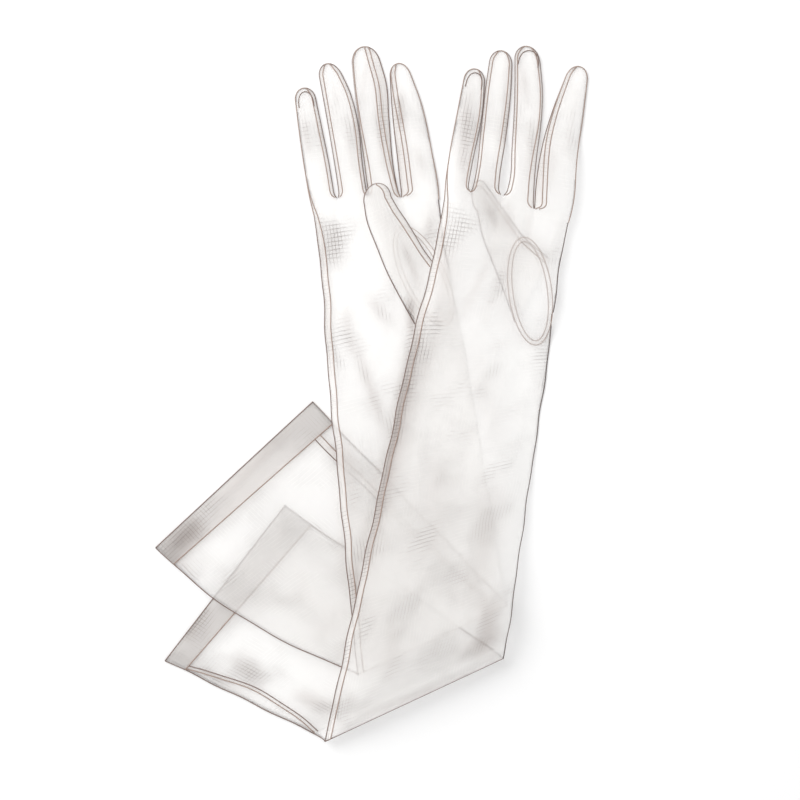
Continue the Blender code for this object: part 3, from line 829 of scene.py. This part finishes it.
def build_sleeve(glove):
    """Builds a hand and arm as far as the fold, and the folded-back end from there.  Each is a
    flat tube: one cloth, twice as wide as it lies, closed by the seam."""
    side, hand = glove.side, f"{glove.side}_hand"
    is_left = glove is LEFT
    s = finger_columns()
    down_arm = np.linspace(0, 1, int(glove.reach[1] / ROW))
    arm_q = np.concatenate([down_arm, np.linspace(1, 1.5, BEND_ROWS)[1:]])
    end_q = np.linspace(2, 3, int(glove.cuff_length / ROW))
    turned_q = np.concatenate([np.linspace(1.5, 2, BEND_ROWS)[:-1], end_q])

    cloth = CLOTH if is_left else COVERED_CLOTH
    arm = sleeve_piece(f"{side}_sleeve", glove, arm_q, s, cloth, hand_painted_shade, OUTER, holes=True)
    placed(arm, hand, f"{side}_hand_back", f"{side}_hand_palm")
    end = sleeve_piece(f"{side}_sleeve_end", glove, turned_q, s, END_CLOTH, end_painted_shade, INNER)
    placed(end, ENDS, f"{side}_cuff_back", f"{side}_cuff_palm")

    widths = seam_taper(-arm_q * glove.reach[-1])
    seam = seam_band(f"{side}_arm_seam_strip", glove, arm_q, -1, 0.1, widths)
    edge = sleeve_line(glove, arm_q, -1, 0.0, OUTER, 0.1)
    seam_edge = sleeve_line(glove, arm_q, -1, widths, OUTER, 0.4)
    crease_line = sleeve_point(glove, 1.5, np.linspace(0, 1, 60), OUTER)
    material, radius = (LINE, 0.4) if is_left else (SOFT_LINE, 0.2)
    arm_pieces = [placed(seam, hand, f"{side}_arm_seam"),
                  sewn(hand, f"{side}_arm_edge_thread", edge, LINE),
                  sewn(hand, f"{side}_arm_seam_thread", seam_edge, SOFT_LINE),
                  sewn(hand, f"{side}_fold_crease", crease_line, material, radius=radius)]
    end_edge = sleeve_line(glove, turned_q, -1, 0.0, OUTER, 0.1)
    end_pieces = [sewn(ENDS, f"{side}_end_edge_thread", end_edge, LINE)]

    # The same seam on the folded-back end, up to the hem.  The left glove's bows in from its
    # lower edge, and the right glove's runs in from its upper edge.
    seam_q = end_q[end_q < hem_start(glove)]
    run = (seam_q - 2) / (seam_q[-1] - 2)
    if is_left:
        from_side, far = -1, 3.5 + 8 * np.sin(np.pi * run)
        near = far - 2.6
    else:
        from_side, far = 1, 7.5 + 8.5 * np.sqrt(run)
        near = far - 1.8 - 2.8 * run
    band = seam_band(f"{side}_end_seam_strip", glove, seam_q, from_side, near, far)
    end_pieces.append(placed(band, ENDS, f"{side}_cuff_seam"))
    for n, inset, material in ((1, near, SOFT_LINE), (2, far, LINE)):
        line = sleeve_line(glove, seam_q, from_side, inset, INNER, 0.4)
        end_pieces.append(sewn(ENDS, f"{side}_end_seam_line_{n}", line, material))
    end_pieces += build_hem(glove, s)
    top_edge = sleeve_line(glove, end_q, 1, 0.0, OUTER, 0.1)
    end_pieces.append(sewn(ENDS, f"{side}_end_fold_line", top_edge, SOFT_LINE, radius=0.2))
    arm_pieces += build_welt(glove)

    hole = math.pi * HOLE_HALF[0] * HOLE_HALF[1]
    arm_area = 2 * plan_area(strip_outline(glove.arm_edge)) - hole
    arm_width = 4 * glove.half_width(glove.arm_length)
    declare(arm_width, glove.arm_length, arm_area, arm_pieces)
    end_area = 2 * plan_area(strip_outline(glove.cuff_edge))
    hem_width = float(np.linalg.norm(glove.hem[1] - glove.hem[-1]))
    declare(2 * hem_width, glove.cuff_length, end_area, end_pieces)


def hem_start(glove):
    return 3 - HEM_DEPTH / (glove.cuff_length - ROLL)


def build_hem(glove, s):
    """A turned hem: a second layer outside the end of the sleeve, sewn along its inner edge."""
    qq, ss = np.meshgrid(np.linspace(hem_start(glove), 3, 7), s, indexing="ij")
    pieces = []
    for place, sheet, lift, out in (("upper", INNER, 0.3, 0.12), ("lower", OUTER, -0.25, -0.12)):
        name = f"{glove.side}_hem_{place}"
        grid = sleeve_point(glove, qq, ss, sheet) + (0, 0, lift)
        # Painted shade on the hem.
        hem = strip(name, grid, HEM_CLOTH, end_painted_shade(glove, grid))
        node = "palm" if sheet == glove.palm else "back"
        pieces.append(placed(hem, ENDS, f"{glove.side}_hem_{node}"))
        for label, row, material in (("stitches", 0, SOFT_LINE), ("edge", -1, LINE)):
            pieces.append(sewn(ENDS, f"{name}_{label}", grid[row] + (0, 0, out), material))
    return pieces


def build_welt(glove):
    """The bound seam round the thumb hole."""
    side, hand = glove.side, f"{glove.side}_hand"
    lift = 0.2 if glove.palm == OUTER else -0.15
    rings = [on_hand(glove, hole_ring(glove, inset), glove.palm, lift)
             for inset in np.linspace(-0.3, WELT_WIDTH, 4)]
    grid = np.stack(rings, 1)
    grid = np.concatenate([grid, grid[:1]])
    welt = strip(f"{side}_thumb_hole_welt", grid, SEAM_CLOTH)
    pieces = [placed(welt, hand, f"{side}_thumb_welt")]
    radius = THREAD if glove is LEFT else 0.16
    for label, ring in (("outer", rings[0]), ("inner", rings[-1])):
        pieces.append(sewn(hand, f"{side}_welt_{label}_thread", ring + (0, 0, 0.15), SOFT_LINE,
                           radius=radius, closed=True))
    return pieces


def rounded(v, start):
    """Grows from 0 to 1 over the rounded corner where two fingers part."""
    return np.sqrt(1 - (1 - np.clip((v - start) / CORNER, 0, 1)) ** 2)


def finger_rows(glove, name):
    """Distances beyond the knuckles, the edges there, and how much the tip has narrowed."""
    stations, tip = EDGES[glove][name]
    last = np.array(stations[-1], float)
    radius = (last[2] - last[1]) / 2 * 1.12
    start = tip - radius
    body = np.concatenate([np.arange(0, 20, 1.25), np.linspace(20, start, int((start - 20) / 2.4))])
    cap = start + radius * np.sin(np.linspace(0, math.radians(84), 11)[1:])
    v = np.concatenate([body, cap])
    edges = through(stations, np.minimum(v, last[0] + 3))
    n = FINGERS.index(name)
    for k, parting in ((0, n - 1), (1, n)):
        if 0 <= parting < 3:
            depth, place = PARTINGS[glove][parting]
            crotch = CROTCHES[parting] + (place - CROTCHES[parting]) * np.clip(v / depth, 0, 1)
            edges[:, k] = crotch + (edges[:, k] - crotch) * rounded(v, depth)
    squeeze = np.sqrt(np.clip(1 - (np.clip(v - start, 0, None) / radius) ** 2, 0, 1))
    centre, half = edges.mean(1), (edges[:, 1] - edges[:, 0]) / 2 * squeeze
    drift = (edges.mean(1)[-1] - through(stations, np.array([start - 20.0])).mean()) / 20
    centre = centre + np.clip(v - last[0] - 3, 0, None) * drift * 0.5
    return v, centre - half, centre + half, squeeze, tip


def at_share(grid, s, places=None):
    """A grid's points at each row's own share s of the way across; places are its columns' shares."""
    if places is None:
        places = np.linspace(0, 1, grid.shape[1])
    place = np.interp(s, places, np.arange(grid.shape[1]))
    low = np.minimum(np.floor(place).astype(int), grid.shape[1] - 2)
    rows = np.arange(len(grid))
    part = (place - low)[:, None]
    return grid[rows, low] * (1 - part) + grid[rows, low + 1] * part


def seam_taper(v):
    """The arm seam's width: it starts beside the little finger and widens down the hand."""
    return SEAM_WIDTH * (1 - smoothstep((v + 24) / 50))


def build_finger(glove, name):
    """A finger's two sheets, the fourchettes between them, and its seams and threads."""
    side = glove.side
    n = FINGERS.index(name)
    strips = STRIPS[name]
    v, left, right, squeeze, tip = finger_rows(glove, name)
    first_u, last_u = BOUNDS[n], BOUNDS[n + 1]
    s_all = finger_columns()
    u = across_hand(s_all)
    mine = (u >= first_u - NEAR) & (u <= last_u + NEAR)
    across = (u[mine] - first_u) / (last_u - first_u)
    hand_row = sleeve_point(glove, np.zeros(mine.sum()), s_all[mine], INNER)
    depth = smoothstep((tip - v) / (tip * 0.28)) ** 0.5 * np.sqrt(np.clip(squeeze, 0, 1))
    fade = smoothstep(v / 12)[:, None]

    insets = through(INSETS[glove][name], v) * np.clip(squeeze * 1.5 - 0.2, 0, 1)[:, None]
    for k in (0, 1):
        if strips[k]:
            insets[:, k] *= rounded(v, PARTINGS[glove][n - 1 + k][0])
    insets = np.minimum(insets, (right - left)[:, None] * 0.42)

    def sheet_grid(low, high, raised):
        uu = low[:, None] + (high - low)[:, None] * across
        local = np.stack([uu, np.repeat(v[:, None], len(across), 1)], -1)
        plan = glove.world(local)
        s_here = np.clip(hand_share(uu), 0, 1)
        height = under_hand(glove, plan) + LIFT
        height = height + hand_unevenness(glove, plan, local, INNER, s_here) * (1 - fade)
        if raised:
            soft = hand_unevenness(glove, plan, local, OUTER, s_here) * (1 - fade)
            soft = soft + 0.22 * rumple(plan, n + glove.lean, 0.8) * fade * depth[:, None] * lens(across)
            height = height + digit_profile(across, strips)[None, :] * depth[:, None] + soft
        grid = np.concatenate([plan, height[..., None]], -1)
        grid[0, :, :2] = hand_row[:, :2]
        return grid

    lower = sheet_grid(left, right, False)
    upper = sheet_grid(left + insets[:, 0], right - insets[:, 1], True)
    body = f"{side}_{name}_finger"
    rows, columns = lower.shape[:2]
    size = rows * columns
    points = np.concatenate([upper.reshape(-1, 3), lower.reshape(-1, 3)])
    faces = grid_faces(rows, columns)
    faces += [tuple(size + k for k in reversed(face)) for face in faces]
    last = size - columns
    faces += [(last + c, last + c + 1, size + last + c + 1, size + last + c) for c in range(columns - 1)]
    for present, c in ((strips[0], 0), (strips[1], columns - 1)):
        if not present:
            faces += [(r * columns + c, (r + 1) * columns + c, size + (r + 1) * columns + c,
                       size + r * columns + c) for r in range(rows - 1)]
    uvs = [np.concatenate([a, b]) for a, b in zip(grid_uvs(upper), grid_uvs(lower))]
    # Painted shade on the finger's upper sheet only.
    painted_grey = np.concatenate([hand_painted_shade(glove, upper).ravel(), np.zeros(size)])
    finger = new_mesh(f"{side}_{name}", points, faces, uvs, FINGER_CLOTH, painted_grey)
    nodes = [f"{body}_back", f"{body}_palm"]
    bends_late = glove is RIGHT and name in ("ring", "middle")  # the thumb lies on their bases
    if bends_late:
        nodes += [f"{side}_{name}_base_back", f"{side}_{name}_base_palm"]
    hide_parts(*nodes)
    pieces = [finger]
    for k, facing, c in ((0, "outer", 0), (1, "inner", -1)):
        if not strips[k]:
            continue
        first = int(np.searchsorted(v, PARTINGS[glove][n - 1 + k][0]))
        a, b = lower[first:, c], upper[first:, c]
        outwards = (turned((1.0, 0.0), -glove.lean) * (2 * k - 1))[None] * squeeze[first:, None]
        grown = smoothstep((v[first:] - v[first]) / 5)[:, None]
        columns_in = []
        for share in (0, 0.25, 0.5, 0.75, 1.0):
            point = a + (b - a) * share
            point[:, :2] += outwards * grown * 0.5 * math.sin(math.pi * share)
            point[:, 2] += grown[:, 0] * squeeze[first:] * 0.4 * math.sin(math.pi * share)
            columns_in.append(point)
        wall = np.stack(columns_in, 1)
        wall_name = f"{side}_{name}_fourchette_{facing}"
        # Painted shade on the fourchette, darkest where it stands in for the gap between fingers.
        piece = strip(f"{wall_name}_strip", wall, SEAM_CLOTH, hand_painted_shade(glove, wall))
        wall_nodes = [wall_name]
        if bends_late:
            wall_nodes.append(f"{side}_{name}_base_fourchette_{facing}")
        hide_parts(*wall_nodes)
        pieces.append(piece)
        if insets[:, k].max() > 4:
            share = np.clip(1 - 2.4 / np.maximum(insets[first:, k], 2.4), 0, 1)
            line = at_share(wall, share) + (0, 0, 0.15)
            pieces.append(thread(f"{wall_name}_thread", line, SOFT_LINE))
    for label, grid, lift, material in (("lower", lower, 0.05, LINE), ("upper", upper, 0.2, SOFT_LINE)):
        line = seam_lines(grid, v, strips, glove, n) + (0, 0, lift)
        pieces.append(thread(f"{side}_{name}_{label}_seam", line, material))
    if (glove, name) in TIP_ARCS:
        line = tip_arc(glove, v, left, right, upper, tip)
        pieces.append(thread(f"{side}_{name}_tip_seam", line, LINE))
    if name == "little":
        near = v <= 30
        width = (right - left - insets[:, 1])[near]
        seam = seam_taper(v[near]) / width
        lines = [at_share(upper[near], share, across) for share in (0.1 / width, seam / 2, seam)]
        band = np.stack(lines, 1) + (0, 0, 0.22)
        pieces.append(strip(f"{side}_little_seam_strip", band, SEAM_CLOTH))
        pieces.append(thread(f"{side}_little_seam_thread", lines[-1] + (0, 0, 0.4), SOFT_LINE))
    bend_from, bend_to = (14.5, 22) if bends_late else (3, 15)
    middle = (first_u + last_u) / 2
    bend(pieces, glove, body, (middle, bend_from), (middle, bend_to))
    outline = np.stack([np.concatenate([left, right[::-1]]), np.concatenate([v, v[::-1]])], -1)
    declare(2 * (right - left).max(), tip, 2 * plan_area(outline), pieces[1:])


def seam_lines(grid, v, strips, glove, n):
    """Along one edge of a finger, round its tip and back; a side that has a parting starts there."""
    starts = [int(np.searchsorted(v, PARTINGS[glove][n - 1 + k][0])) if strips[k] else 0 for k in (0, 1)]
    return np.concatenate([grid[starts[0]:, 0], grid[-1, 1:-1], grid[starts[1]:, -1][::-1]])


def tip_arc(glove, v, left, right, upper, tip):
    """The seam across the face of a fingertip, a little in from its end."""
    angles = np.linspace(0, np.pi, 25)
    foot = tip - 13
    low, high = np.interp(foot, v, left) + 1.9, np.interp(foot, v, right) - 1.9
    uu = (low + high) / 2 - (high - low) / 2 * np.cos(angles)
    vv = foot + (tip - 2.6 - foot) * np.sin(angles) ** 0.7
    place = np.interp(vv, v, np.arange(len(v)))
    row = np.clip(np.floor(place).astype(int), 0, len(v) - 2)
    part = place - row
    share = (uu - np.interp(vv, v, left)) / (np.interp(vv, v, right) - np.interp(vv, v, left))
    below, above = (at_share(upper[rows], share)[:, 2] for rows in (row, row + 1))
    height = below * (1 - part) + above * part
    plan = glove.world(np.stack([uu, vv], -1))
    return np.concatenate([plan, height[:, None] + 0.35], -1)


def build_thumb(glove):
    """The thumb's tapering tube, from the root in its hole to the tip, and its seams."""
    side = glove.side
    pairs = np.array(THUMB_EDGES[glove], float)
    tip = np.array(THUMB_TIPS[glove])
    at = np.arange(len(pairs), dtype=float)
    t = np.linspace(0, at[-1], 34)
    high, low = (through(np.column_stack([at, pairs[:, k]]), t) for k in (0, 1))
    middle, half = (high + low) / 2, (high - low) / 2
    end_middle, end_half = middle[-1], half[-1]
    angles = np.radians(np.linspace(0, 86, 12)[1:])
    cap_middle = end_middle + (tip - end_middle) * np.sin(angles)[:, None]
    cap_half = end_half * np.cos(angles)[:, None]
    middle, half = np.vstack([middle, cap_middle]), np.vstack([half, cap_half])
    squeeze = np.concatenate([np.ones(len(t)), np.cos(angles)])
    share = np.linspace(0, 1, len(middle))
    across = np.linspace(0, 1, 15)
    local = (middle - half)[:, None] + (2 * half)[:, None] * across[None, :, None]
    plan = glove.world(local)
    root = 1 - smoothstep(share / 0.22)
    # The right thumb lies on its palm.  The left one lies on the table, and rises to its hole.
    if glove is RIGHT:
        floor = on_hand(glove, plan, OUTER)[..., 2] + 0.5
    else:
        palm = under_hand(glove, plan) + LIFT - 0.7
        floor = np.clip(0.4 + (palm - 2.6) * root[:, None] * 0.9, 0.4, None)
    depth = squeeze ** 0.5 * (1 - 0.9 * root if glove is RIGHT else 1 - 0.6 * root)
    profile = lens(across)[None, :] * DIGIT_DOME * depth[:, None]
    soft = 0.25 * rumple(plan, 9 + glove.lean, 0.8) * lens(across) * depth[:, None]
    for a, b, width, rise in THUMB_FOLDS[glove]:
        soft = soft + rise * crease(local, a, b, width) * lens(across)
    lower = np.concatenate([plan, floor[..., None]], -1)
    upper = np.concatenate([plan, (floor + profile + soft)[..., None]], -1)
    grid = tube_grid(upper, lower)
    # Painted shade on the thumb's upper sheet only.
    painted_grey = hand_painted_shade(glove, grid)
    painted_grey[:, len(across):] = 0
    faces = grid_faces(*grid.shape[:2], closed=True)
    thumb = new_mesh(f"{side}_thumb_cloth", grid.reshape(-1, 3), faces, tube_uvs(upper, lower),
                     FINGER_CLOTH, painted_grey)
    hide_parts(f"{side}_thumb_back", f"{side}_thumb_palm")
    pieces = [thumb]
    seam_width = 4.0 / np.maximum(np.linalg.norm(2 * half, axis=1), 9)
    lines = [at_share(upper, 1 - seam_width * k) + (0, 0, 0.25) for k in np.linspace(0, 1, 4)]
    band = strip(f"{side}_thumb_seam_strip", np.stack(lines, 1), SEAM_CLOTH)
    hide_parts(f"{side}_thumb_seam")
    pieces.append(band)
    pieces.append(thread(f"{side}_thumb_seam_thread", lines[-1] + (0, 0, 0.15), SOFT_LINE))
    outline = np.concatenate([lower[:, 0], lower[-1], lower[::-1, -1]]) + (0, 0, 0.1)
    pieces.append(thread(f"{side}_thumb_outline_thread", outline, LINE))
    if glove is RIGHT:
        start = np.array([19.5, -53.0])
        square = np.array([-0.8715, 0.4904])  # in the table's plan
        ends = [start, start + turned(square, glove.lean) * 12]
    else:
        root_line = pairs[0, 0] - pairs[0, 1]
        square = np.array([-root_line[1], root_line[0]]) / np.linalg.norm(root_line)
        ends = [pairs[0, 0] + square * d for d in (2, 28)]
    bend(pieces, glove, f"{side}_thumb", *ends)
    outline = np.concatenate([middle - half, (middle + half)[::-1]])
    declare(4 * np.linalg.norm(half[0]), np.linalg.norm(tip - middle[0]),
            2 * plan_area(outline), pieces[1:])


for glove in (RIGHT, LEFT):
    build_sleeve(glove)
    for name in FINGERS:
        build_finger(glove, name)
    build_thumb(glove)

# Floor, light and camera.
scene = bpy.context.scene
floor_mesh = bpy.data.meshes.new("floor")
TABLE, TABLE_TOP = 3, -0.0004  # half its width, and its height, in metres
corners = [(x * TABLE, y * TABLE, TABLE_TOP) for x, y in ((-1, -1), (1, -1), (1, 1), (-1, 1))]
floor_mesh.from_pydata(corners, [], [(0, 1, 2, 3)])
floor = bpy.data.objects.new("floor", floor_mesh)
scene.collection.objects.link(floor)
table = Shader("pale_table")
floor_mesh.materials.append(table.ended(table.add("BsdfDiffuse", {"Color": (0.95, 0.95, 0.95, 1)})))

world = bpy.data.worlds.new("soft_room")
scene.world = world
world.use_nodes = True
background = world.node_tree.nodes["Background"]
background.inputs["Color"].default_value = (1.0, 1.0, 1.0, 1)
background.inputs["Strength"].default_value = 0.78

light = bpy.data.lights.new("window", "AREA")
light.shape = "DISK"
light.size = 2.2
light.energy = 40
window = bpy.data.objects.new("window", light)
window.location = (-1.4, 1.2, 1.5)
window.rotation_euler = Vector((1.4, -1.2, -1.5)).to_track_quat("-Z", "Y").to_euler()
scene.collection.objects.link(window)

camera_data = bpy.data.cameras.new("camera")
camera_data.lens = 85
camera_data.sensor_width = 36
camera = bpy.data.objects.new("camera", camera_data)
camera.location = (0.0184, -0.0054, 1.2527)
scene.collection.objects.link(camera)
scene.camera = camera
scene.view_settings.view_transform = "Standard"
scene.cycles.transparent_max_bounces = 48
scene.cycles.diffuse_bounces = 6
scene.cycles.max_bounces = 16
